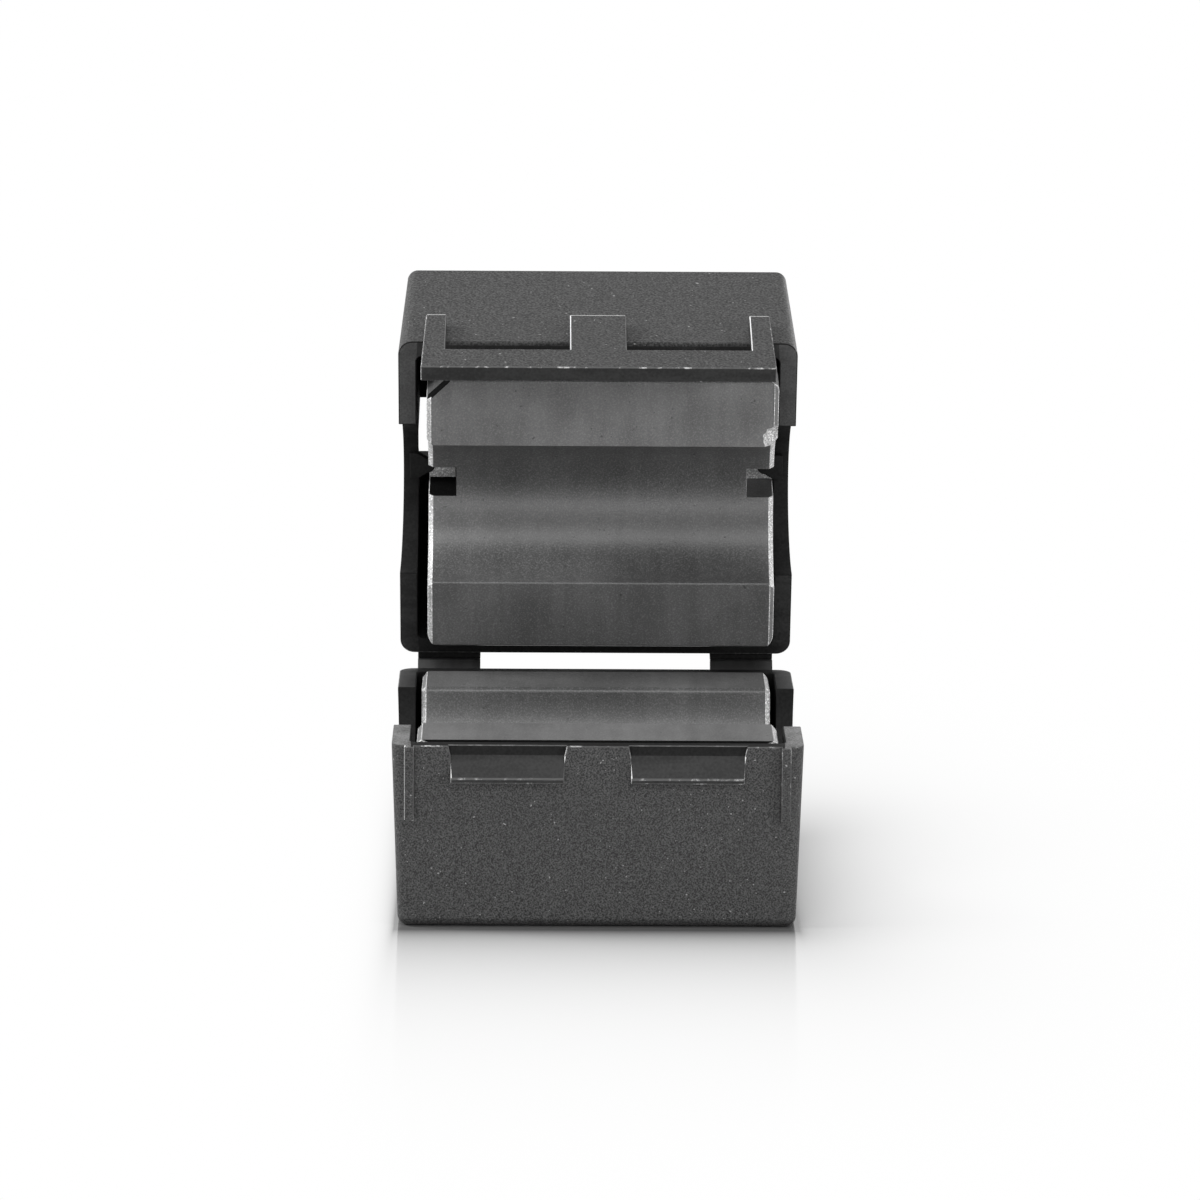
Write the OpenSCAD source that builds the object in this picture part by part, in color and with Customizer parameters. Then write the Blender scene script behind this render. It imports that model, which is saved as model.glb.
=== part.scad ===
// Clip-on ferrite bead. Two half cores with a round channel sit in a hinged
// plastic case that snaps shut over a cable.
// Frame: origin in the middle of the underside, X along the cable, Z up,
// latch side towards -Y, hinge side towards +Y. All sizes in millimetres.
// The lid is drawn shut and then turned back about the hinge line.

/* [Ferrite cores] */
// Diameter of the cable channel
bore_d = 13; // [8:0.5:15]
// Length of each half core along the cable
core_l = 29.4; // [24:0.1:40]
// Width of each half core from latch side to hinge side
core_w = 25; // [22:0.1:32]
// Height of each half core
core_h = 13.45; // [12.5:0.05:18]
// Radius of the upright corners of a core
core_corner = 1; // [0.5:0.1:2]
// Leg of the cut across one latch-side corner of the upper core
corner_cut = 2; // [1:0.1:3]
// Chamfer round the mating face and the channel ends
core_chamfer = 0.4; // [0.1:0.05:0.8]
// Length of the retaining notch at each channel end
notch_l = 2.3; // [2:0.1:3]
// Width of the retaining notch
notch_w = 2.7; // [2.2:0.1:4]

/* [Core seats] */
// Height of the lower core above its case rim
core_proud = 0.1; // [0:0.05:0.5]
// Travel of the sprung upper core between lid open and lid shut
core_float = 2.8; // [1.5:0.05:4]
// Gap between the mating faces with the lid shut
face_gap = 0.05; // [0.05:0.05:0.2]
// Gap from the back of the upper core to the roof with the lid shut
roof_gap = 0.45; // [0.2:0.05:0.8]
// Play of a claw against its core and of a knuckle against its strap
seat_gap = 0.05; // [0.02:0.01:0.1]
// Sideways rest of the upper core in the lid
core_shift = 0.4; // [0:0.05:0.45]
// Gap from a core end to the end wall
end_gap = 0.5; // [0.5:0.05:0.8]
// Gap from the lower core to the long walls of the base
base_gap = 0.1; // [0.05:0.05:0.3]
// Gap from the upper core to the long walls of the lid
lid_gap = 0.8; // [0.4:0.05:1.2]
// Reach of a claw over the end of its core
claw_reach = 0.9; // [0.6:0.05:1.2]
// Thickness of a claw
claw_t = 0.65; // [0.4:0.05:1]
// Gap from a claw's tip to each side of its notch
claw_play = 0.7; // [0.3:0.05:0.8]
// Gap from a claw's root to each side of its notch
root_play = 0.2; // [0.1:0.05:0.5]

/* [Case] */
// Thickness of the long walls of the base
wall = 1.3; // [1:0.1:2]
// Thickness of the long walls of the lid
lid_wall = 1.35; // [1:0.05:2]
// Thickness of the end walls
end_wall = 1.5; // [1.4:0.1:2]
// Thickness of the floor under the lower core
floor_t = 1.9; // [1.2:0.1:3]
// Thickness of the roof of the lid
roof_t = 1.9; // [1.2:0.1:3]
// Gap between the rims with the lid shut
seam = 0.3; // [0.2:0.05:0.5]
// Extra radius of the base's cable cut-outs over the channel
cutout_extra = 0.2; // [0:0.05:0.5]
// Extra radius of the lid's cable cut-outs over the channel
lid_cutout_extra = 0.5; // [0:0.05:0.8]
// Mould draft of the end walls in degrees
end_draft = 1.7; // [0.2:0.1:2]
// Mould draft of the long walls in degrees
side_draft = 0.5; // [0.2:0.1:2]
// Radius of the upright corners of the case
corner_r = 1.2; // [0.6:0.1:1.4]
// Radius of the upright corners inside the case
cavity_r = 0.5; // [0.2:0.1:0.8]
// Radius of the outer floor and roof edges
edge_r = 0.9; // [0.3:0.1:1.2]
// Length of the mould window behind each claw
window_l = 2.3; // [1.5:0.1:3]
// Width of the mould window behind each claw
window_w = 6; // [3:0.1:7]
// Depth of the window's pocket in the end wall
window_cut = 0.4; // [0:0.05:0.4]

/* [Latch] */
// Distance from the side of the latch plate to the end of the case
plate_inset = 2.05; // [1.8:0.05:3]
// How much narrower the latch plate is at its root
plate_taper = 0.5; // [0:0.1:1]
// Height of the latch plate over the lid wall
plate_out = 1; // [0.9:0.05:1.3]
// Thickness of the latch plate
plate_t = 1.3; // [1.2:0.05:1.35]
// Height of the catch bar that hooks under the lugs
bar_h = 3.5; // [2.5:0.1:4.5]
// Height of the plate's legs above the seam
leg_h = 3.55; // [2:0.05:5]
// Width of each outer leg
side_leg = 1.95; // [1.2:0.05:2.4]
// Width of the middle leg
mid_leg = 4.7; // [3:0.1:6]
// Gap from the middle leg to each latch lug
mid_play = 0.35; // [0.2:0.05:0.8]
// Gap from an outer leg to its latch lug
side_play = 0.8; // [0.2:0.05:1]
// Height of a lug over the base wall
lug_out = 0.65; // [0.4:0.05:0.7]
// Depth of a lug's catch face below the seam
lug_drop = 3.15; // [2.8:0.05:3.6]
// Height of the upright land at a lug's tip
lug_land = 0.4; // [0.2:0.05:0.8]
// Play between catch bar and lugs
latch_gap = 0.2; // [0.1:0.05:0.4]
// Depth of the lead-in notch above a lug
lead_in = 0.35; // [0.1:0.05:0.6]
// Height of the lead-in notch from the rim
lead_h = 0.85; // [0.4:0.05:1.2]
// Widening of the lead-in notch at each side of the rim
lead_flare = 0.2; // [0:0.05:0.3]
// Width of the guide ribs beside the plate
rib_w = 0.8; // [0.5:0.05:0.9]
// Length of the guide ribs down from the rim
rib_l = 6.15; // [4:0.05:8]
// Height of the guide ribs over the base wall
rib_out = 0.55; // [0.3:0.05:0.8]
// Gap from the latch plate to each guide rib
rib_play = 0.2; // [0.1:0.05:0.4]

/* [Hinge] */
// Opening angle of the lid in degrees
lid_open = 75; // [0:1:90]
// Distance of the hinge line behind the base wall
hinge_out = 1.6; // [1.5:0.05:2.2]
// Width of each hinge strap
strap_w = 5.35; // [3:0.05:7]
// Thickness of each hinge strap
strap_t = 0.7; // [0.5:0.05:0.75]
// Height from a strap's lower flex line to the hinge line
strap_rise = 1.5; // [1.2:0.05:2.5]
// Play round the flex lines
flex_gap = 0.1; // [0.05:0.05:0.2]
// Height of the lid's knuckle at the hinge line
knuckle_h = 1.5; // [1:0.1:2.5]
// Slope of the knuckle's back in degrees
knuckle_slope = 55; // [30:1:65]

/* [Hidden] */
$fn = 64;
over = 1;
rim_band = 0.2;
bore_r = bore_d / 2;
base_cut_r = bore_r + cutout_extra;
lid_cut_r = bore_r + lid_cutout_extra;
rim_z = floor_t + core_h - core_proud;
seam_z = rim_z + seam / 2;
lid_rim_z = rim_z + seam;
lower_face_z = rim_z + core_proud;
shut_face_z = lower_face_z + face_gap;
upper_face_z = shut_face_z - core_float;
top_z = shut_face_z + core_h + roof_gap + roof_t;
cavity_l = core_l + 2 * end_gap;
case_l = cavity_l + 2 * end_wall;
base_cavity_w = core_w + 2 * base_gap;
base_w = base_cavity_w + 2 * wall;
lid_cavity_w = core_w + 2 * lid_gap;
lid_w = lid_cavity_w + 2 * lid_wall;
claw_w = notch_w - 2 * claw_play;
claw_root = notch_w - 2 * root_play;
claw_l = end_gap + claw_reach;
claw_z = seam_z + bore_r + seat_gap;
notch_floor = claw_z + claw_t + seat_gap - upper_face_z;
base_claw_z = lower_face_z - notch_floor + seat_gap;
plate_w = case_l - 2 * plate_inset;
plate_y = -lid_w / 2 - plate_out;
lug_w = (plate_w - mid_leg) / 2 - side_leg - mid_play - side_play;
lug_x = mid_leg / 2 + mid_play + lug_w / 2;
lug_z = seam_z - lug_drop;
bar_z = lug_z - latch_gap;
hinge_y = base_w / 2 + hinge_out;
flex_y = base_w / 2 + strap_t / 2 + flex_gap;
flex_z = seam_z - strap_rise;
strap_x = cavity_l / 2 - strap_w / 2;
case_colour = [0.22, 0.22, 0.23];
strap_colour = [0.16, 0.16, 0.17];
ferrite_colour = [0.42, 0.42, 0.43];

// Rectangle with round corners.
module round_rect(l, w, r) {
  square([l - 2 * r, w], center = true);
  square([l, w - 2 * r], center = true);
  for (sx = [-1, 1], sy = [-1, 1])
    translate([sx * (l / 2 - r), sy * (w / 2 - r)]) circle(r);
}

// Prism along X, l long and centred on x, with a YZ outline.
module along_x(x, l) {
  translate([x - l / 2, 0, 0]) rotate([90, 0, 90]) linear_extrude(l) children();
}

// Prism from y = from to y = to with an XZ outline.
module along_y(from, to) {
  translate([0, to, 0]) rotate([90, 0, 0]) linear_extrude(to - from) children();
}

// Drafted block standing on its foot: ball corners and round edges below,
// l by w at the rim.
module shell_block(l, w, h) {
  foot_l = l - 2 * h * tan(end_draft);
  foot_w = w - 2 * h * tan(side_draft);
  hull() {
    for (sx = [-1, 1], sy = [-1, 1])
      translate([sx * (foot_l / 2 - edge_r), sy * (foot_w / 2 - edge_r), edge_r])
        sphere(edge_r, $fn = 32);
    linear_extrude(edge_r) square([foot_l - 2 * edge_r, foot_w - 2 * edge_r], center = true);
    translate([0, 0, h - rim_band]) linear_extrude(rim_band)
      round_rect(l, w, corner_r, $fn = 32);
  }
}

// Open half case standing on its foot: cavity, cable cut-outs and the mould
// windows, which run up the end walls to the claws' backs at claw_back. The
// cut-outs have radius cut_r about axis_z.
module half_case(w, h, cavity_w, bottom, claw_back, axis_z, cut_r) {
  difference() {
    shell_block(case_l, w, h);
    translate([0, 0, bottom]) linear_extrude(h) round_rect(cavity_l, cavity_w, cavity_r);
    translate([-case_l, 0, axis_z]) rotate([0, 90, 0]) cylinder(r = cut_r, h = 2 * case_l);
    for (s = [0, 180])
      rotate([0, 0, s]) translate([cavity_l / 2 - window_l, -window_w / 2, -over])
        cube([window_l + window_cut, window_w, claw_back + over]);
  }
}

// Pair of claws with round tips and wider roots, reaching from the end walls
// over the notches of a core. z is their lower face.
module claws(z) {
  root = claw_l + end_wall / 2;
  half = [[claw_w / 2, claw_w / 2], [claw_l, claw_root / 2], [root, claw_root / 2]];
  for (s = [0, 180])
    rotate([0, 0, s]) translate([cavity_l / 2 - claw_l, 0, z]) linear_extrude(claw_t) {
      translate([claw_w / 2, 0]) circle(claw_w / 2);
      polygon(concat(half, [for (i = [2:-1:0]) [half[i][0], -half[i][1]]]));
    }
}

// Outline of a latch lug in the YZ plane, with its ramp running up into the
// lead-in notch. y is the outer face of the base wall.
module lug_profile(y) {
  polygon([[y + wall / 2, lug_z], [y - lug_out, lug_z],
           [y - lug_out, lug_z + lug_land],
           [y + lead_in, rim_z - lead_h], [y + wall / 2, rim_z - lead_h]]);
}

// Everything in front of a lug's ramp, cut out of the base wall.
module lead_profile(y) {
  polygon([[y + lead_in, rim_z + over], [y + lead_in, rim_z - lead_h],
           [y - lug_out, lug_z + lug_land], [y - 2 * over, lug_z + lug_land],
           [y - 2 * over, rim_z + over]]);
}

// Front view of a lead-in notch, wider at the rim.
module lead_outline(x) {
  top = lug_w / 2 + lead_flare;
  low = lug_w / 2;
  polygon([[x - low, rim_z - lead_h], [x + low, rim_z - lead_h], [x + top, rim_z],
           [x + top, rim_z + over], [x - top, rim_z + over], [x - top, rim_z]]);
}

// Guide rib beside the latch plate, rooted halfway into the base wall.
module guide_rib(side, y) {
  x = side * (plate_w / 2 + rib_play + rib_w / 2);
  translate([x - rib_w / 2, y - rib_out, rim_z - rib_l])
    cube([rib_w, rib_out + wall / 2, rib_l]);
}

module base_case() {
  y = -base_w / 2;
  color(case_colour) {
    difference() {
      union() {
        half_case(base_w, rim_z, base_cavity_w, floor_t, base_claw_z, seam_z, base_cut_r);
        claws(base_claw_z);
        for (s = [-1, 1]) guide_rib(s, y);
      }
      for (s = [-1, 1]) {
        along_x(s * lug_x, lug_w) lead_profile(y);
        along_y(y - over, y + lead_in) lead_outline(s * lug_x);
      }
    }
    for (s = [-1, 1]) along_x(s * lug_x, lug_w) lug_profile(y);
  }
}

// Latch plate in its own plane: a catch bar hung on three legs.
module plate_outline() {
  low = bar_z - bar_h;
  high = seam_z + leg_h;
  root = plate_w - plate_taper;
  difference() {
    polygon([[-plate_w / 2, low], [plate_w / 2, low], [root / 2, high], [-root / 2, high]]);
    for (s = [0, 1]) mirror([s, 0])
      translate([mid_leg / 2, bar_z])
        square([plate_w / 2 - side_leg - mid_leg / 2, high - bar_z + over]);
  }
}

// Outline of the lid's half of the hinge in the YZ plane.
module knuckle_profile() {
  root = (lid_w - lid_wall) / 2;
  tip = hinge_y - seat_gap;
  low = seam_z + strap_t / 2 + flex_gap;
  high = low + knuckle_h;
  polygon([[root, low], [tip, low], [tip, high],
           [root, high + (tip - root) * tan(knuckle_slope)]]);
}

// The lid as it lies when shut, latch plate and hinge knuckles included.
module lid_shut() {
  translate([0, 0, top_z]) mirror([0, 0, 1])
    half_case(lid_w, top_z - lid_rim_z, lid_cavity_w, roof_t, top_z - claw_z - claw_t,
              top_z - seam_z, lid_cut_r);
  claws(claw_z);
  along_y(plate_y, plate_y + plate_t) plate_outline();
  for (s = [-1, 1]) along_x(s * strap_x, strap_w) knuckle_profile();
}

// Turns the shut lid back about the hinge line.
module opened() {
  translate([0, hinge_y, seam_z]) rotate([-lid_open, 0, 0])
    translate([0, -hinge_y, -seam_z]) children();
}

module lid_case() {
  color(case_colour) opened() lid_shut();
}

// Flexing link between base and lid, round at both flex lines.
module hinge_strap(x) {
  run = hinge_y - flex_y;
  color(strap_colour) along_x(x, strap_w) {
    translate([flex_y, flex_z]) circle(strap_t / 2);
    translate([hinge_y, seam_z]) circle(strap_t / 2);
    translate([flex_y, flex_z]) rotate([0, 0, atan2(strap_rise, run)])
      translate([0, -strap_t / 2]) square([norm([run, strap_rise]), strap_t]);
  }
}

module hinge_strap_left() { hinge_strap(-strap_x); }

module hinge_strap_right() { hinge_strap(strap_x); }

// Half core with its mating face at z = 0 and its back at z = -core_h.
module half_core() {
  c = core_chamfer;
  difference() {
    intersection() {
      translate([0, 0, -core_h]) linear_extrude(core_h) round_rect(core_l, core_w, core_corner);
      along_x(0, 2 * core_l) polygon([
        [-core_w / 2, -core_h], [core_w / 2, -core_h], [core_w / 2, -c / 2],
        [core_w / 2 - c / 2, 0], [-core_w / 2 + c / 2, 0], [-core_w / 2, -c / 2]]);
      along_y(-core_w, core_w) polygon([
        [-core_l / 2, -core_h], [core_l / 2, -core_h], [core_l / 2, -c],
        [core_l / 2 - c, 0], [-core_l / 2 + c, 0], [-core_l / 2, -c]]);
    }
    translate([-core_l, 0, 0]) rotate([0, 90, 0]) cylinder(r = bore_r, h = 2 * core_l);
    for (s = [0, 180]) rotate([0, 0, s]) {
      translate([core_l / 2 - c, 0, 0]) rotate([0, 90, 0])
        cylinder(r1 = bore_r, r2 = bore_r + 2 * c, h = 2 * c);
      translate([core_l / 2 - notch_l, -notch_w / 2, -notch_floor])
        cube([notch_l + over, notch_w, notch_floor]);
    }
  }
}

module ferrite_core_lower() {
  color(ferrite_colour) translate([0, 0, lower_face_z]) half_core();
}

module ferrite_core_upper() {
  color(ferrite_colour) opened()
    translate([core_shift, 0, upper_face_z]) mirror([0, 0, 1]) difference() {
      half_core();
      translate([-core_l / 2, -core_w / 2, -core_h - over]) linear_extrude(core_h + 2 * over)
        polygon([[-over, -over], [corner_cut + over, -over], [-over, corner_cut + over]]);
    }
}

base_case();
lid_case();
hinge_strap_left();
hinge_strap_right();
ferrite_core_lower();
ferrite_core_upper();
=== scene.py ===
"""Looks of a clip-on ferrite bead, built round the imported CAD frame. Lengths are in metres.

X runs along the cable, the latch faces -Y, the hinge is at +Y and Z is up. At rest the lid lies
open. Each CAD node is shown by a copy of its own solid with rounded edges.
"""
import math

import bmesh
import bpy
from mathutils import Euler, Matrix, Vector, noise as field


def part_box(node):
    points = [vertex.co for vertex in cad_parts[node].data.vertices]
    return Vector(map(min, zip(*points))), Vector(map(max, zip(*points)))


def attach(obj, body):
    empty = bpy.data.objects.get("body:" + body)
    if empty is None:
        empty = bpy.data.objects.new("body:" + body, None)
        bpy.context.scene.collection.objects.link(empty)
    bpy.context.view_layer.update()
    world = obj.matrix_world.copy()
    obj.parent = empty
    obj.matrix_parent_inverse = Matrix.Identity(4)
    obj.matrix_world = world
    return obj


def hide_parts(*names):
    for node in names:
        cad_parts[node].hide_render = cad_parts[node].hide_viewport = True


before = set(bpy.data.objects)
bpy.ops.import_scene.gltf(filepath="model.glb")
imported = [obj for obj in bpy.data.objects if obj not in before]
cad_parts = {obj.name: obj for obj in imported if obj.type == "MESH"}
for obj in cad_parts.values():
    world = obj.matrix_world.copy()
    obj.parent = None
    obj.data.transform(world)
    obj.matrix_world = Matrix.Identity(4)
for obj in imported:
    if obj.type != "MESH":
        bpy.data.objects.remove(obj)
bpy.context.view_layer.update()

MM = 0.001

# Height of the plane where the two halves meet, with the axis of the lower channel in it.
SEAM_HEIGHT = 15.4 * MM

# The lid at rest: how far it is open, and the flex line that it turns about.
LID_ANGLE = math.radians(75)
HINGE = Vector((0, 15.5, 15.4)) * MM
TO_SHUT = Matrix.Rotation(LID_ANGLE, 3, "X")
TO_OPEN = Matrix.Rotation(-LID_ANGLE, 3, "X")

ALONG = Vector((1, 0, 0))
TO_LATCH = Vector((0, -1, 0))
UP = Vector((0, 0, 1))

# How far a face's normal has to lie along a direction, from square to it down to hardly at all.
SQUARE = 0.95
FACING = 0.9
LEANING = 0.5
TILTED = 0.3
BARELY = 0.1


# ---------------------------------------------------------------- shader nodes

# Turns the noise so that no flat wall lies along its lattice, where it would fade in bands.
GRAIN_TURN = (0.5, 0.8, 0.4)

# Sockets of a colour Mix node, which has several of the same name.
MIX_FACTOR = 0
MIX_A = 6
MIX_B = 7
MIX_COLOR = 2


class Nodes:
    """Builds a node tree. A value is a plain one or the output of another node."""

    def __init__(self, tree):
        self.tree = tree

    def add(self, kind, **settings):
        """Adds a node and sets its properties."""
        node = self.tree.nodes.new(kind)
        for key, value in settings.items():
            setattr(node, key, value)
        return node

    def link(self, source, target):
        self.tree.links.new(source, target)

    def put(self, socket, value):
        if isinstance(value, bpy.types.NodeSocket):
            self.link(value, socket)
        else:
            socket.default_value = value

    def feed(self, node, **inputs):
        """Sets or links a node's inputs, named with _ for a space."""
        for key, value in inputs.items():
            self.put(node.inputs[key.replace("_", " ")], value)
        return node

    def math(self, operation, a, b=0.0):
        node = self.add("ShaderNodeMath", operation=operation)
        self.put(node.inputs[0], a)
        self.put(node.inputs[1], b)
        return node.outputs["Value"]

    def plus(self, a, b):
        return self.math("ADD", a, b)

    def minus(self, a, b):
        return self.math("SUBTRACT", a, b)

    def times(self, a, b):
        return self.math("MULTIPLY", a, b)

    def span(self, value, source=(0.0, 1.0), target=(0.0, 1.0)):
        """Maps the range source to the range target, and clamps."""
        node = self.add("ShaderNodeMapRange", clamp=True)
        self.feed(node, Value=value, From_Min=source[0], From_Max=source[1],
                  To_Min=target[0], To_Max=target[1])
        return node.outputs["Result"]

    def seen(self):
        """1 for what the eye meets, straight or by way of gloss or glass, and 0 for plain light."""
        path = self.add("ShaderNodeLightPath")
        seen = path.outputs["Is Camera Ray"]
        for kind in ("Is Glossy Ray", "Is Transmission Ray"):
            seen = self.math("MAXIMUM", seen, path.outputs[kind])
        return seen


class Shader(Nodes):
    """A node material under construction. Its noise is fixed to the part."""

    def __init__(self, name):
        self.material = bpy.data.materials.new(name)
        self.material.use_nodes = True
        super().__init__(self.material.node_tree)
        self.tree.nodes.clear()
        self.output = self.add("ShaderNodeOutputMaterial")
        self.place = self.add("ShaderNodeTexCoord").outputs["Object"]

    def noise(self, scale, detail=2.0, roughness=0.5, stretch=None):
        """Noise with scale features a metre. A stretch below 1 draws it out along that axis."""
        mapping = self.feed(self.add("ShaderNodeMapping"), Vector=self.place)
        if stretch:
            self.feed(mapping, Scale=stretch)
        else:
            self.feed(mapping, Rotation=GRAIN_TURN)
        node = self.add("ShaderNodeTexNoise")
        self.feed(node, Vector=mapping.outputs["Vector"], Scale=scale, Detail=detail,
                  Roughness=roughness)
        return node.outputs["Fac"]

    def blend(self, a, b, share):
        """One field of two: share of a, and b for the rest."""
        return self.plus(self.times(a, share), self.times(b, 1 - share))

    def mix(self, factor, a, b):
        """Goes from colour a to colour b with factor."""
        node = self.add("ShaderNodeMix", data_type="RGBA")
        self.put(node.inputs[MIX_FACTOR], factor)
        self.put(node.inputs[MIX_A], a)
        self.put(node.inputs[MIX_B], b)
        return node.outputs[MIX_COLOR]

    def shade(self, value, band, low, high):
        """Grey that goes from low to high while value crosses the band."""
        return self.mix(self.span(value, band), grey(low), grey(high))

    def layer(self, color, mask, share, tone):
        """Lays a grey over a colour where the mask is, share at the most."""
        return self.mix(self.times(mask, share), color, grey(tone))

    def bump(self, height, depth, strength):
        node = self.add("ShaderNodeBump")
        self.feed(node, Height=height, Distance=depth, Strength=strength)
        return node.outputs["Normal"]

    def finish(self, shader):
        """Puts a shader on the surface and gives the material."""
        self.link(shader, self.output.inputs["Surface"])
        return self.material

    def surface(self, color, roughness, ior, normal=None):
        shader = self.add("ShaderNodeBsdfPrincipled")
        self.feed(shader, Base_Color=color, Roughness=roughness, IOR=ior)
        if normal:
            self.feed(shader, Normal=normal)
        return self.finish(shader.outputs["BSDF"])


def grey(value):
    """Linear grey, opaque."""
    return (value, value, value, 1)


# ------------------------------------------------------------------- materials

# Bands of a noise: nearly all of its values, its middle alone, and its few highest peaks.
BROAD = (0.3, 0.7)
MIDDLE = (0.38, 0.62)
DUST_BAND = (0.785, 0.805)
PORE_BAND = (0.72, 0.78)

# Bands of the grain of the cores that are darkened, from the middle down, and paled.
DARK_GRAIN = (0.60, 0.36)
PALE_GRAIN = (0.52, 0.70)

# Specks of dust against the grain that they lie on, in features a metre.
DUST_SIZE = 0.6

# Streaks run along X on moulded faces, and across it on the hinge webs and the cores.
STREAK_SCALE = 900
STREAK_STRETCH = (0.25, 1.0, 1.0)
FINE_SCALE = 4200
DRAWN_STRETCH = (1.0, 0.2, 0.2)
GROUND_STRETCH = (1.0, 0.12, 0.12)


def textured_plastic(name, scale, pale, depth):
    """Spark-eroded outer walls: fine matt grain, faint clouds and pale specks of dust."""
    s = Shader(name)
    grain = s.noise(scale, detail=1.5)
    cloud = s.span(s.noise(scale=160), BROAD)
    dust = s.span(s.noise(scale * DUST_SIZE, detail=0.5), DUST_BAND)
    color = s.shade(grain, band=(0.36, 0.68), low=0.005, high=pale)
    color = s.layer(color, cloud, share=0.25, tone=0.028)
    color = s.layer(color, dust, share=0.6, tone=0.4)
    return s.surface(color, roughness=s.span(grain, BROAD, (0.6, 0.46)), ior=1.37,
                     normal=s.bump(grain, depth, strength=1.0))


def rim_plastic(name, low, high):
    """Seam faces: a trace of the grain, a shade paler where the halves rub."""
    s = Shader(name)
    grain = s.noise(scale=6500, detail=1.5)
    rub = s.noise(scale=500, detail=3.0)
    color = s.shade(s.blend(grain, rub, share=0.55), MIDDLE, low, high)
    return s.surface(color, roughness=s.span(grain, BROAD, (0.55, 0.42)), ior=1.42,
                     normal=s.bump(grain, depth=0.02 * MM, strength=0.8))


def smooth_plastic():
    """Bare steel-finished faces: lugs, ramps, cut-outs and the backs of the rims."""
    s = Shader("case_smooth")
    streak = s.noise(STREAK_SCALE, detail=3.0, stretch=STREAK_STRETCH)
    fine = s.noise(FINE_SCALE, detail=1.5)
    color = s.shade(s.blend(streak, fine, share=0.6), band=(0.40, 0.60), low=0.003, high=0.016)
    height = s.plus(streak, s.times(fine, 0.5))
    return s.surface(color, roughness=s.span(streak, BROAD, (0.48, 0.58)), ior=1.36,
                     normal=s.bump(height, depth=0.02 * MM, strength=0.8))


def edge_plastic(name, low, high, share):
    """Moulded edges, pale in patches, and in more of them with a larger share. The palest copies
    are painted highlights on the edges that catch the light.
    """
    s = Shader(name)
    rub = s.noise(scale=1100, detail=5.0, roughness=0.7)
    color = s.shade(rub, band=(0.62 - share, 0.72 - share), low=low, high=high)
    return s.surface(color, roughness=s.span(rub, BROAD, (0.42, 0.3)), ior=1.5)


def painted_shade_plastic():
    """Inside of the case, between the cores and the walls: plain black, painted shade on the walls'
    own plastic.
    """
    s = Shader("case_painted_shade")
    streak = s.noise(STREAK_SCALE, detail=3.0, stretch=STREAK_STRETCH)
    fine = s.noise(FINE_SCALE, detail=1.5)
    color = s.shade(fine, MIDDLE, low=0.003, high=0.007)
    return s.surface(color, roughness=s.span(streak, BROAD, (0.6, 0.75)), ior=1.25,
                     normal=s.bump(fine, depth=0.012 * MM, strength=0.6))


def strap_plastic():
    """Worked hinge web: black, faintly drawn across the flex lines."""
    s = Shader("strap_smooth")
    drawn = s.noise(scale=1500, detail=3.0, stretch=DRAWN_STRETCH)
    color = s.shade(drawn, band=(0.35, 0.7), low=0.008, high=0.016)
    return s.surface(color, roughness=s.span(drawn, BROAD, (0.40, 0.52)), ior=1.45,
                     normal=s.bump(drawn, depth=0.01 * MM, strength=0.6))


def ferrite(name, low, high, rough, ior, contrast=1.0):
    """Sintered ferrite: fine grain, faint grinding streaks, scattered pores.

    low and high are its darkest and palest clouds, and contrast is that of the grain on them.
    """
    s = Shader(name)
    grain = s.noise(scale=7500, detail=1.5, roughness=0.6)
    streak = s.noise(scale=700, detail=3.0, stretch=GROUND_STRETCH)
    cloud = s.noise(scale=110, detail=3.0)
    pore = s.span(s.noise(scale=2600, detail=1.0), PORE_BAND)
    tone = s.blend(streak, cloud, share=0.35)
    color = s.shade(tone, MIDDLE, low=low * 0.82, high=high * 1.05)
    color = s.layer(color, s.span(grain, DARK_GRAIN), share=0.6 * contrast, tone=low * 0.35)
    color = s.layer(color, s.span(grain, PALE_GRAIN), share=0.7 * contrast, tone=high * 2.0)
    color = s.layer(color, pore, share=0.6, tone=low * 0.3)
    height = s.minus(s.plus(grain, s.times(streak, 0.3)), pore)
    return s.surface(color, roughness=s.span(grain, BROAD, (rough, rough + 0.1)), ior=ior,
                     normal=s.bump(height, depth=0.014 * MM, strength=0.8))


# -------------------------------------------------------------------- geometry

# Corners of the largest face that stays whole.
QUAD = 4

# Clean-up of a copied solid: points to merge, slivers to drop, facets to join.
MERGE = 0.002 * MM
SLIVER = 0.001 * MM
FLAT = math.radians(0.4)

# Edges that turn further than CREASE are rounded. What still turns past SHARP shades as sharp.
CREASE = math.radians(24)
SHARP = math.radians(48)


def from_lid(point):
    """Turns a point of the open lid back to where it lies with the lid shut."""
    return TO_SHUT @ (point - HINGE) + HINGE


def onto_lid(point):
    """The reverse of from_lid."""
    return TO_OPEN @ (point - HINGE) + HINGE


def beyond(points, centre, normal):
    """How far the points reach past the plane of a face."""
    return max((p - centre).dot(normal) for p in points)


def add_object(name, bm, materials):
    """Turns a bmesh into an object of the scene."""
    mesh = bpy.data.meshes.new(name)
    bm.to_mesh(mesh)
    bm.free()
    for material in materials:
        mesh.materials.append(material)
    made = bpy.data.objects.new(name, mesh)
    bpy.context.scene.collection.objects.link(made)
    return made


def apply_modifiers(piece):
    graph = bpy.context.evaluated_depsgraph_get()
    done = bpy.data.meshes.new_from_object(piece.evaluated_get(graph))
    piece.modifiers.clear()
    piece.data = done


def is_outer(edge):
    return len(edge.link_faces) == 2 and edge.is_convex and edge.calc_face_angle(0) > CREASE


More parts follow.
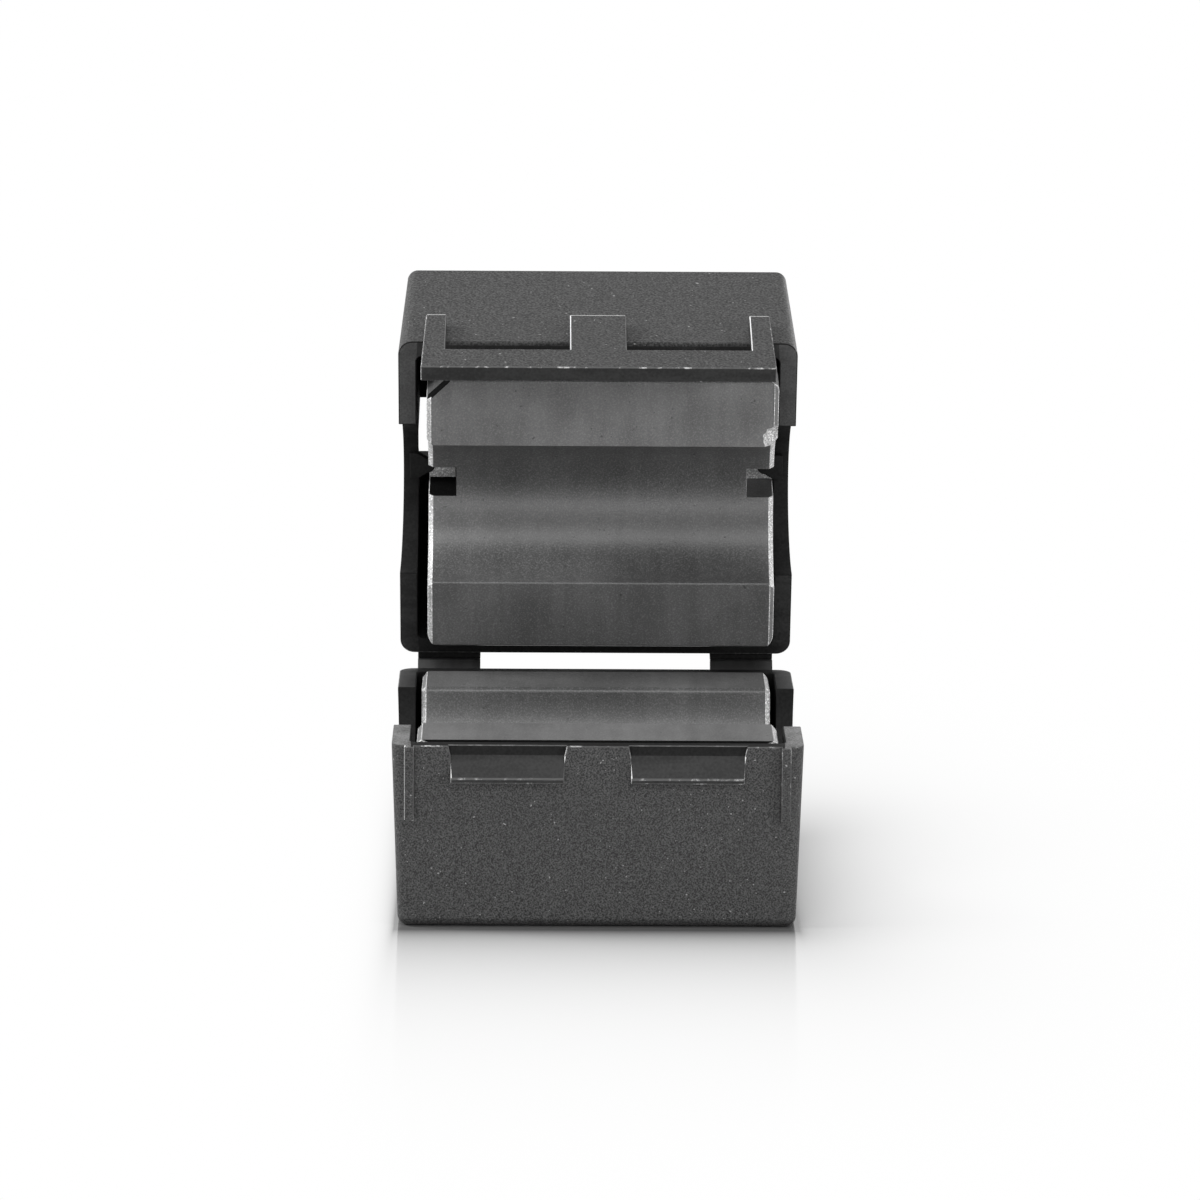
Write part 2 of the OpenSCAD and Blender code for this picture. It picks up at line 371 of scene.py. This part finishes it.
def rounded_copy(node, name, radius, materials, choose, choose_edge, keep=None, cuts=(),
                 soft=None, soft_radius=0.0):
    """Copy of a CAD node with rounded outer edges, one material a face.

    choose(centre, normal) gives the material slot of a face of the solid, and choose_edge that of
    the rounding between faces. keep(edge) says which outer edges stay sharp. cuts are planes, as
    pairs of point and normal, that part flat faces so that each side has its own material.
    soft(edge) names edges that are rounded first, with soft_radius and in the look of slot 0.
    """
    bm = bmesh.new()
    bm.from_mesh(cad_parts[node].data)
    bmesh.ops.remove_doubles(bm, verts=bm.verts, dist=MERGE)
    bmesh.ops.dissolve_degenerate(bm, dist=SLIVER, edges=bm.edges)
    bmesh.ops.dissolve_limit(bm, angle_limit=FLAT, verts=bm.verts, edges=bm.edges)
    for point, normal in cuts:
        bmesh.ops.bisect_plane(bm, geom=bm.verts[:] + bm.edges[:] + bm.faces[:], dist=SLIVER,
                               plane_co=point, plane_no=normal)
    bm.normal_update()
    for face in bm.faces:
        face.material_index = choose(face.calc_center_median(), face.normal)
        face.smooth = True
    if soft:
        bmesh.ops.bevel(bm, geom=[edge for edge in bm.edges if soft(edge)], offset=soft_radius,
                        offset_type="OFFSET", segments=5, profile=0.5, affect="EDGES",
                        clamp_overlap=False, material=0)
        bm.normal_update()
    edges = [edge for edge in bm.edges if is_outer(edge) and not (keep and keep(edge))]
    made = bmesh.ops.bevel(bm, geom=edges, offset=radius, offset_type="OFFSET", segments=2,
                           profile=0.6, affect="EDGES", clamp_overlap=False, loop_slide=False,
                           miter_outer="SHARP", miter_inner="SHARP")
    bm.normal_update()
    for face in made["faces"]:
        face.material_index = choose_edge(face.calc_center_median(), face.normal)
    bmesh.ops.triangulate(bm, faces=[face for face in bm.faces if len(face.verts) > QUAD])
    return add_object(name, bm, materials)


def settle(piece):
    """Marks the sharp edges and weights the normals by face area."""
    bm = bmesh.new()
    bm.from_mesh(piece.data)
    for edge in bm.edges:
        edge.smooth = edge.calc_face_angle(0) < SHARP
    bm.to_mesh(piece.data)
    bm.free()
    weigh = piece.modifiers.new("normals", "WEIGHTED_NORMAL")
    weigh.keep_sharp = True
    weigh.weight = 80
    apply_modifiers(piece)
    piece.data.name = piece.name


def show(piece, node, body):
    """Shows a finished piece in place of its CAD node, on the node's body."""
    settle(piece)
    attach(piece, body)
    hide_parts(node)


# ------------------------------------------------------------------------ case

TEXTURED, SMOOTH, EDGE, RUBBED, PAINTED_HIGHLIGHT, SEAM, RIM_END_LIGHT, PAINTED_SHADE_INSIDE, DOTTED_HIGHLIGHT = range(9)
finishes = [
    smooth_plastic(),
    edge_plastic("case_edge", low=0.03, high=0.08, share=0.12),
    edge_plastic("case_rubbed", low=0.04, high=0.3, share=0.08),
    # Painted highlight, full along the edges that face the light.
    edge_plastic("case_painted_highlight", low=0.25, high=0.8, share=0.32),
    rim_plastic("case_seam", low=0.028, high=0.052),
    # Paler copy of the seam plastic: painted light on the tops of the rim ends.
    rim_plastic("case_rim_end_painted_light", low=0.05, high=0.19),
    # Near-black copy of the case plastic: painted shade on the inside and its edges.
    painted_shade_plastic(),
    # Painted highlight in dots, along edges that face up or down.
    edge_plastic("case_painted_dots", low=0.05, high=0.55, share=0.09),
]
base_grain = textured_plastic("base_textured", scale=8000, pale=0.077, depth=0.02 * MM)
# The lid's copy is darker than the base's: painted shade against the stronger light on its upturned
# front wall. Its grain is also coarser and deeper.
lid_grain_painted_shade = textured_plastic("lid_textured_painted_shade", scale=5600, pale=0.062, depth=0.034 * MM)

# Radius of the case's edges, and of those under the lid's front wall.
CASE_ROUNDING = 0.09 * MM
UNDER_ROUNDING = 0.4 * MM

base_low, base_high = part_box("base_case")
base_points = [v.co.copy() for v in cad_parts["base_case"].data.vertices]
lid_points = [v.co.copy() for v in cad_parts["lid_case"].data.vertices]
shut_points = [from_lid(p) for p in lid_points]

# Room for a wall's draft and for the ends of the roundings.
SKIN = 0.1 * MM
HAIR = 0.02 * MM
# A face with more of the case than this beyond it belongs to the inside, painted black as shade.
PROUD_EDGE = 1.2 * MM

# Base: the front wall, and the lugs and ribs that stand proud of it.
LUG_PROUD = 0.65 * MM
WALL_Y = base_low.y + LUG_PROUD
LEAD_IN_Y = base_low.y + 2 * MM
LUG_BOTTOM = 6.0 * MM
LUG_END_X = 12 * MM
TOP_EDGE = base_high.z - 3 * SKIN
# Raised ends of the rims, and the front part of their tops that is painted paler as light.
RIM_END_X = 15.1 * MM
RIM_FRONT_Y = -6.0 * MM

# Lid, as it lies when shut: the latch plate, which stands proud of the front wall on its legs.
PLATE_PROUD = 1.0 * MM
PLATE_Y = min(p.y for p in shut_points)
PLATE_DEPTH = 1.5 * MM
# Top of the plate's legs, and how far down they carry a painted highlight.
LEG_TOP = max(p.z for p in shut_points if p.y < PLATE_Y + HAIR)
LEG_LINE = 0.14 * MM
# Front wall over the latch bar, and the rim that joins it.
LID_FRONT_Y = -14.0 * MM
WINDOW_RIM_Y = -13.7 * MM
WINDOW_X = 13.5 * MM
LID_RIM_Z = 15.55 * MM
RIM_LINE = 0.05 * MM
WALL_OFF_PLATE = 0.5 * MM
SEAM_REACH = 0.5 * MM
SEAM_SPLIT_Y = -5.0 * MM


def base_face(centre, normal):
    """Grained outer walls, ribs and floor; smooth lugs and rim; front rim ends painted paler as
    light; black painted shade inside.
    """
    on_front = centre.y < WALL_Y + SKIN
    between_ribs = abs(centre.x) < LUG_END_X
    if normal.z < LEANING and beyond(base_points, centre, normal) < LUG_PROUD + SKIN:
        return SMOOTH if between_ribs and centre.y < WALL_Y - SKIN else TEXTURED
    ramp = normal.y < -BARELY and normal.z > BARELY and centre.y < LEAD_IN_Y and between_ribs
    if on_front or ramp:
        return SMOOTH
    if normal.z > FACING and centre.z > base_high.z - SKIN and abs(centre.x) > RIM_END_X:
        return RIM_END_LIGHT if centre.y < RIM_FRONT_Y else SMOOTH
    return PAINTED_SHADE_INSIDE


def base_edge(centre, normal):
    """Painted highlight where ribs and lugs face left, dotted painted highlight below the lugs and
    along the rim, black painted shade on inner edges.
    """
    if centre.y < WALL_Y + SKIN and centre.z > LUG_BOTTOM:
        if normal.x < -TILTED and centre.x < LUG_END_X:
            return PAINTED_HIGHLIGHT
        on_rim = normal.z > TILTED and centre.z > TOP_EDGE
        return DOTTED_HIGHLIGHT if on_rim or normal.z < -TILTED else RUBBED
    return PAINTED_SHADE_INSIDE if beyond(base_points, centre, normal) > PROUD_EDGE else EDGE


def lid_face(centre, normal):
    """Grained outer walls, roof and latch plate, painted highlight on the leg tops, smooth rims,
    black painted shade inside.
    """
    out = TO_SHUT @ normal
    shut = from_lid(centre)
    if out.z > -LEANING and beyond(lid_points, centre, normal) < PLATE_PROUD + SKIN:
        on_plate = out.y < -FACING and shut.y < PLATE_Y + HAIR
        return PAINTED_HIGHLIGHT if on_plate and shut.z > LEG_TOP - LEG_LINE else TEXTURED
    if shut.y < PLATE_Y + PLATE_DEPTH:
        return SMOOTH
    if out.z < -FACING and shut.y < WINDOW_RIM_Y and abs(shut.x) < WINDOW_X:
        return SMOOTH
    if out.z < -FACING and shut.z < SEAM_HEIGHT + SEAM_REACH and abs(shut.x) > RIM_END_X:
        return SEAM if shut.y < SEAM_SPLIT_Y else SMOOTH
    return PAINTED_SHADE_INSIDE


def lid_edge(centre, normal):
    """Painted highlight where the latch plate faces left, dotted painted highlight along it,
    grained under the front wall, black painted shade on inner edges.
    """
    out = TO_SHUT @ normal
    shut = from_lid(centre)
    if shut.y < PLATE_Y + PLATE_PROUD - SKIN:
        if out.x < -TILTED:
            return PAINTED_HIGHLIGHT
        return DOTTED_HIGHLIGHT if out.x < TILTED else EDGE
    if shut.y < WINDOW_RIM_Y and shut.z < LID_RIM_Z + SEAM_REACH and abs(shut.x) < WINDOW_X:
        return TEXTURED
    return PAINTED_SHADE_INSIDE if beyond(lid_points, centre, normal) > PROUD_EDGE else EDGE


def over_bar(edge):
    """True for the lower edges of the lid's front wall that show over the latch bar."""
    for shut in [from_lid(vert.co) for vert in edge.verts]:
        off_line = abs(shut.z - LID_RIM_Z) >= RIM_LINE or abs(shut.x) >= WINDOW_X
        if off_line or not PLATE_Y + WALL_OFF_PLATE < shut.y < LID_FRONT_Y:
            return False
    return edge.is_convex


def show_case():
    """Shows the base and the lid, with their rims parted at the raised ends."""
    rim_ends = [(ALONG * (side * RIM_END_X), ALONG) for side in (-1, 1)]
    # Plane that parts off the strip at the legs' tops, which carries a painted highlight.
    leg_line = (onto_lid(Vector((0, PLATE_Y, LEG_TOP - LEG_LINE))), TO_OPEN @ UP)
    base = rounded_copy("base_case", "base_shell", CASE_ROUNDING, [base_grain] + finishes,
                        base_face, base_edge, cuts=rim_ends)
    show(base, "base_case", "base")
    lid = rounded_copy("lid_case", "lid_shell", CASE_ROUNDING, [lid_grain_painted_shade] + finishes,
                       lid_face, lid_edge, cuts=rim_ends + [leg_line],
                       soft=over_bar, soft_radius=UNDER_ROUNDING)
    show(lid, "lid_case", "lid")


# ----------------------------------------------------------------------- cores

GROUND, SINTERED, CHAMFER_HIGHLIGHT, BROKEN, BLACK_SHADE, HALF_HIGHLIGHT, NOTCH_LIGHT, LAND_DEEP_SHADE, LAND_SOME_SHADE = range(9)
core_materials = [
    ferrite("ferrite_ground", low=0.134, high=0.168, rough=0.68, ior=1.36, contrast=0.3),
    ferrite("ferrite_sintered", low=0.066, high=0.083, rough=0.31, ior=1.56, contrast=0.6),
    # Pale copies on chamfers and end edges: painted highlights, full and half.
    ferrite("ferrite_painted_highlight", low=0.4, high=0.54, rough=0.45, ior=1.8),
    ferrite("ferrite_broken", low=0.26, high=0.5, rough=0.6, ior=1.6),
    # Near-black copy: painted shade on the cut corner, the front bevel and the left notch walls.
    ferrite("ferrite_painted_shade", low=0.002, high=0.004, rough=0.85, ior=1.12),
    ferrite("ferrite_painted_half_highlight", low=0.2, high=0.34, rough=0.4, ior=1.8),
    # Pale copy: painted light on the notch floors, which lie in shade.
    ferrite("ferrite_painted_light", low=0.32, high=0.44, rough=0.5, ior=1.6),
    # Darker copies of the ground ferrite: painted shade on the seam lands.
    ferrite("ferrite_land_painted_deep_shade", low=0.068, high=0.09, rough=0.68, ior=1.36, contrast=0.4),
    ferrite("ferrite_land_painted_some_shade", low=0.096, high=0.13, rough=0.68, ior=1.36, contrast=0.35),
]

CORE_ROUNDING = 0.08 * MM
# Distance from the channel's axis within which a slanted end face is the channel's own chamfer. The
# chamfers and end edges are painted pale as highlights.
BORE_RIM = 7.6 * MM
# End notches that the claws hook into: floors painted pale as light, the left ones' walls painted
# black as shade.
NOTCH_X = 9.0 * MM
NOTCH_REACH = 11.0 * MM
# Cut corner at the upper core's left end: where it starts, how far along it goes and how deep. It
# is painted black as shade.
CUT_INSET = 0.7 * MM
CUT_LENGTH = 4.0 * MM
CUT_BAND = 1.2 * MM
# Depth of the bevelled front edge of the lower core, which is painted black as shade.
FRONT_BEVEL = 0.6 * MM

# Upper core at rest: how far it hangs forward of its seat, towards the lid's mouth.
FLOAT = 2.8 * MM

# Chip off the upper core: its size, its place past the core's end, across and under the seam with
# the lid shut, and the lumps of its broken face as a fractal noise.
CHIP_RADIUS = 1.3 * MM
CHIP_OUT = 0.1 * MM
CHIP_Y = -7.3 * MM
CHIP_Z = -0.25 * MM
CHIP_LUMPS = 1400
CHIP_DEPTH = 0.16
CHIP_DECAY = 0.8
CHIP_STEP = 2.0
CHIP_OCTAVES = 4


def add_core(node, land, latch, bore, highlight_side, corner_cut=False):
    """Half core: ground seam faces, sintered channel, end edges and chamfers pale as painted
    highlights, notch floors pale as painted light, and painted shade on the hinge-side land, the
    left notch walls, the front bevel and the cut corner.

    land is the way its seam faces look, latch the way from its channel to the latch, and bore a
    point on the channel's axis. Its side argument is -1 where the left end's slanted edges are
    painted paler as highlight, 1 where the right end's are. corner_cut says that its left corner
    is cut off.
    """
    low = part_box(node)[0]

    def face(centre, normal):
        spoke = centre - bore
        spoke.x = 0
        if TILTED < abs(normal.x) < SQUARE:
            if spoke.length < BORE_RIM:
                return CHAMFER_HIGHLIGHT if corner_cut or centre.x > 0 else HALF_HIGHLIGHT
            if corner_cut and low.x + CUT_INSET < centre.x < 0:
                return BLACK_SHADE if spoke.dot(land) > -CUT_BAND else SINTERED
            return HALF_HIGHLIGHT if centre.x * highlight_side > 0 else GROUND
        if abs(centre.x) > NOTCH_X and abs(normal.x) < TILTED and spoke.length < NOTCH_REACH:
            if normal.dot(land) > FACING:
                return NOTCH_LIGHT
            return BLACK_SHADE if centre.x < 0 else SINTERED
        bevel = normal.y < -LEANING and normal.z > LEANING and centre.y < low.y + FRONT_BEVEL
        if bevel and not corner_cut:
            return BLACK_SHADE
        # Seam lands: the hinge-side ones are painted darker as shade, the lower core's latch-side
        # one a little darker as shade.
        if normal.dot(land) > FACING and abs(spoke.dot(land)) < SKIN:
            if spoke.dot(latch) < 0:
                return LAND_DEEP_SHADE
            return GROUND if corner_cut else LAND_SOME_SHADE
        return SINTERED

    # Roundings: black painted shade along the cut corner, painted highlight along the ends.
    def edge(centre, normal):
        if corner_cut and CUT_INSET < centre.x - low.x < CUT_LENGTH and abs(normal.x) > BARELY:
            return BLACK_SHADE
        return CHAMFER_HIGHLIGHT if abs(normal.x) > TILTED else SINTERED

    def ridge(line):
        return all(abs(side.normal.x) < BARELY for side in line.link_faces)

    return rounded_copy(node, node.replace("ferrite_core", "half_core"), CORE_ROUNDING,
                        core_materials, face, edge, keep=ridge,
                        cuts=[(bore - land * CUT_BAND, land)] if corner_cut else [])


def chip_corner(core, place):
    """Knocks a small shell-shaped chip off the core at a point."""
    bm = bmesh.new()
    bmesh.ops.create_icosphere(bm, subdivisions=4, radius=CHIP_RADIUS)
    for vert in bm.verts:
        lumps = field.fractal(vert.co * CHIP_LUMPS, CHIP_DECAY, CHIP_STEP, CHIP_OCTAVES)
        vert.co = vert.co * (1 + CHIP_DEPTH * lumps) + place
    for face in bm.faces:
        face.material_index = BROKEN
    cutter = add_object("chip", bm, core_materials)
    cut = core.modifiers.new("chip", "BOOLEAN")
    cut.operation = "DIFFERENCE"
    cut.solver = "EXACT"
    cut.material_mode = "INDEX"
    cut.object = cutter
    apply_modifiers(core)
    bpy.data.objects.remove(cutter)


def show_cores():
    """Shows the lower core, and the upper one with a chip off its right end."""
    bore = Vector((0, 0, SEAM_HEIGHT))
    lower = add_core("ferrite_core_lower", UP, TO_LATCH, bore, highlight_side=1)
    show(lower, "ferrite_core_lower", "base")
    lifted = bore - Vector((0, 0, FLOAT))
    upper = add_core("ferrite_core_upper", TO_OPEN @ -UP, TO_OPEN @ TO_LATCH, onto_lid(lifted),
                     highlight_side=-1, corner_cut=True)
    end_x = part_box("ferrite_core_upper")[1].x
    corner = Vector((end_x + CHIP_OUT, CHIP_Y, CHIP_Z))
    chip_corner(upper, onto_lid(lifted + corner))
    show(upper, "ferrite_core_upper", "upper_core")


# ---------------------------------------------------------------------- straps

STRAP_ROUNDING = 0.06 * MM


def show_straps():
    """Shows the two hinge webs, each of one material."""
    web = strap_plastic()
    for side in ("left", "right"):
        strap = rounded_copy("hinge_strap_" + side, "hinge_web_" + side, STRAP_ROUNDING, [web],
                             lambda centre, normal: 0, lambda centre, normal: 0)
        show(strap, "hinge_strap_" + side, "straps")


# ------------------------------------------------------------ floor and lights

FLOOR_HALF = 1.6
FLOOR_GREY = 0.44
CONTACT_SHADOW_GREY = 0.13

# The part's footprint, how fast the plain white takes over away from it, which lightens the floor's
# shade near the part and most at its left, and how far the painted contact shadow reaches.
FOOT_X = 16.5 * MM
FOOT_Y = 14.5 * MM
FADE_LEFT = 0.9 * MM
FADE_RIGHT = 6.8 * MM
FADE_DEPTH = 12.5 * MM
CONTACT_SIDE = 0.3 * MM
CONTACT_DEPTH = 2.0 * MM

WORLD_FILL = 0.17
LAMP_AIM = Vector((0, 0, 0.025))
# Name, azimuth and elevation in degrees, distance, width and height in metres, watts.
LAMPS = (
    ("left_softbox", -91, 34, 0.5, 0.2, 0.2, 3.1),
    ("front_softbox", -12, 46, 0.5, 0.34, 0.14, 0.68),
    ("right_fill", 62, 16, 0.6, 0.14, 0.14, 1.9),
    ("low_strip", 0, -2.5, 0.2, 0.3, 0.03, 0.125),
    ("top_softbox", 15, 76, 0.6, 0.35, 0.35, 0.25),
    ("back_softbox", 138, 11, 0.6, 0.3, 0.12, 0.6),
)


def falloff(s, split, left, right, depth):
    """Falls from 1 at the part's footprint to 0 away from it, over a length of its own a side."""
    x = split.outputs["X"]
    gaps = ((s.minus(x, FOOT_X), right),
            (s.minus(s.times(x, -1.0), FOOT_X), left),
            (s.minus(s.math("ABSOLUTE", split.outputs["Y"]), FOOT_Y), depth))
    total = 0.0
    for gap, length in gaps:
        steps = s.math("DIVIDE", s.math("MAXIMUM", gap, 0.0), length)
        total = s.plus(total, s.math("POWER", steps, 2.0))
    return s.math("EXPONENT", s.times(s.math("SQRT", total), -1.0))


def floor_material():
    """Pale satin sheet: it takes the shadow and mirrors the part close by, carries a painted
    contact shadow at the part's foot, and is plain white beyond; the white's fade lightens its
    shade near the part.
    """
    s = Shader("studio_floor")
    seen = s.seen()
    split = s.feed(s.add("ShaderNodeSeparateXYZ"), Vector=s.place)
    near = falloff(s, split, FADE_LEFT, FADE_RIGHT, FADE_DEPTH)
    painted_contact_shadow = falloff(s, split, CONTACT_SIDE, CONTACT_SIDE, CONTACT_DEPTH)
    sheet = s.add("ShaderNodeBsdfPrincipled")
    # Base colour darkens towards the part's foot: a painted contact shadow.
    s.feed(sheet, Base_Color=s.mix(painted_contact_shadow, grey(FLOOR_GREY), grey(CONTACT_SHADOW_GREY)),
           Roughness=0.1, IOR=1.8)
    white = s.feed(s.add("ShaderNodeEmission"), Strength=seen)
    blend = s.feed(s.add("ShaderNodeMixShader"), Fac=s.times(s.minus(1.0, near), seen))
    s.link(sheet.outputs["BSDF"], blend.inputs[1])
    s.link(white.outputs["Emission"], blend.inputs[2])
    return s.finish(blend.outputs["Shader"])


def add_floor():
    mesh = bpy.data.meshes.new("floor")
    corners = [(x * FLOOR_HALF, y * FLOOR_HALF, 0) for x, y in ((-1, -1), (1, -1), (1, 1), (-1, 1))]
    mesh.from_pydata(corners, [], [(0, 1, 2, 3)])
    mesh.materials.append(floor_material())
    floor = bpy.data.objects.new("floor", mesh)
    bpy.context.scene.collection.objects.link(floor)


def add_softbox(name, azimuth, elevation, distance, width, height, watts):
    """Area lamp aimed at the part. Azimuth 0 is at the camera's side, positive to its right."""
    lamp = bpy.data.lights.new(name, "AREA")
    lamp.shape = "RECTANGLE"
    lamp.size = width
    lamp.size_y = height
    lamp.energy = watts
    turn = math.radians(azimuth)
    rise = math.radians(elevation)
    toward = Vector((math.sin(turn) * math.cos(rise), -math.cos(turn) * math.cos(rise),
                     math.sin(rise)))
    box = bpy.data.objects.new(name, lamp)
    box.location = LAMP_AIM + toward * distance
    box.rotation_euler = toward.to_track_quat("Z", "Y").to_euler()
    box.visible_camera = False
    bpy.context.scene.collection.objects.link(box)


def add_world():
    """White to the eye and in reflections, gentle fill to the part."""
    world = bpy.data.worlds.new("studio")
    bpy.context.scene.world = world
    world.use_nodes = True
    sky = Nodes(world.node_tree)
    sky.feed(sky.tree.nodes["Background"], Color=grey(1),
             Strength=sky.span(sky.seen(), target=(WORLD_FILL, 1.0)))


# ---------------------------------------------------------------------- camera

# The camera stands back from the middle of the seam and aims a little off it, in a square frame.
STAND_DISTANCE = 472.75 * MM
STAND_ELEVATION = math.radians(13.388)
STAND_YAW = math.radians(0.565)
AIM_ELEVATION = math.radians(12.333)
AIM_YAW = math.radians(0.5925)
ROLL = math.radians(0.403)
FOCAL_LENGTH = 170.48
SENSOR_WIDTH = 36.0
CLIP_START = 0.01
CLIP_END = 10


def add_camera():
    """Looks at the part from the photograph's viewpoint."""
    lens = bpy.data.cameras.new("camera")
    lens.lens = FOCAL_LENGTH
    lens.sensor_width = SENSOR_WIDTH
    lens.sensor_fit = "HORIZONTAL"
    lens.clip_start = CLIP_START
    lens.clip_end = CLIP_END
    camera = bpy.data.objects.new("camera", lens)
    ahead = Vector((math.sin(STAND_YAW) * math.cos(STAND_ELEVATION),
                    math.cos(STAND_YAW) * math.cos(STAND_ELEVATION),
                    -math.sin(STAND_ELEVATION)))
    stand = Matrix.Translation(Vector((0, 0, SEAM_HEIGHT)) - ahead * STAND_DISTANCE)
    turn = Euler((math.pi / 2 - AIM_ELEVATION, 0, -AIM_YAW)).to_matrix()
    camera.matrix_world = stand @ (turn @ Matrix.Rotation(ROLL, 3, "Z")).to_4x4()
    bpy.context.scene.collection.objects.link(camera)
    bpy.context.scene.camera = camera


# ------------------------------------------------------------------- the scene

show_case()
show_cores()
show_straps()
add_world()
add_floor()
for lamp in LAMPS:
    add_softbox(*lamp)
add_camera()
bpy.context.scene.view_settings.view_transform = "Standard"
